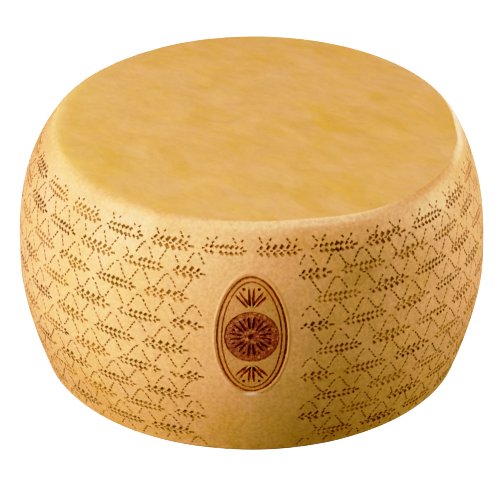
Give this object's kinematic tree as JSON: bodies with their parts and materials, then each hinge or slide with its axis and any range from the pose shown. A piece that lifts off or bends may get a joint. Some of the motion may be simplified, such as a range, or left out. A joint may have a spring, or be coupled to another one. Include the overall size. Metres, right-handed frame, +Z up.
{
  "type": "hard cheese wheel",
  "caption": "Whole wheel of aged hard cheese with a bulging heel, soft shoulders, a flat bottom to rest on and a shallow oval seal pressed into its rind.",
  "frame": {"origin": "centre of the flat bottom face that the wheel rests on", "axes": "+Z up along the wheel's axis, and the pressed seal faces -Y"},
  "size_m": [0.43, 0.4298, 0.235],
  "materials": {
    "rind": "waxy satin"
  },
  "bodies": {
    "root": {"cheese_wheel": "rind"}
  },
  "joints": []
}
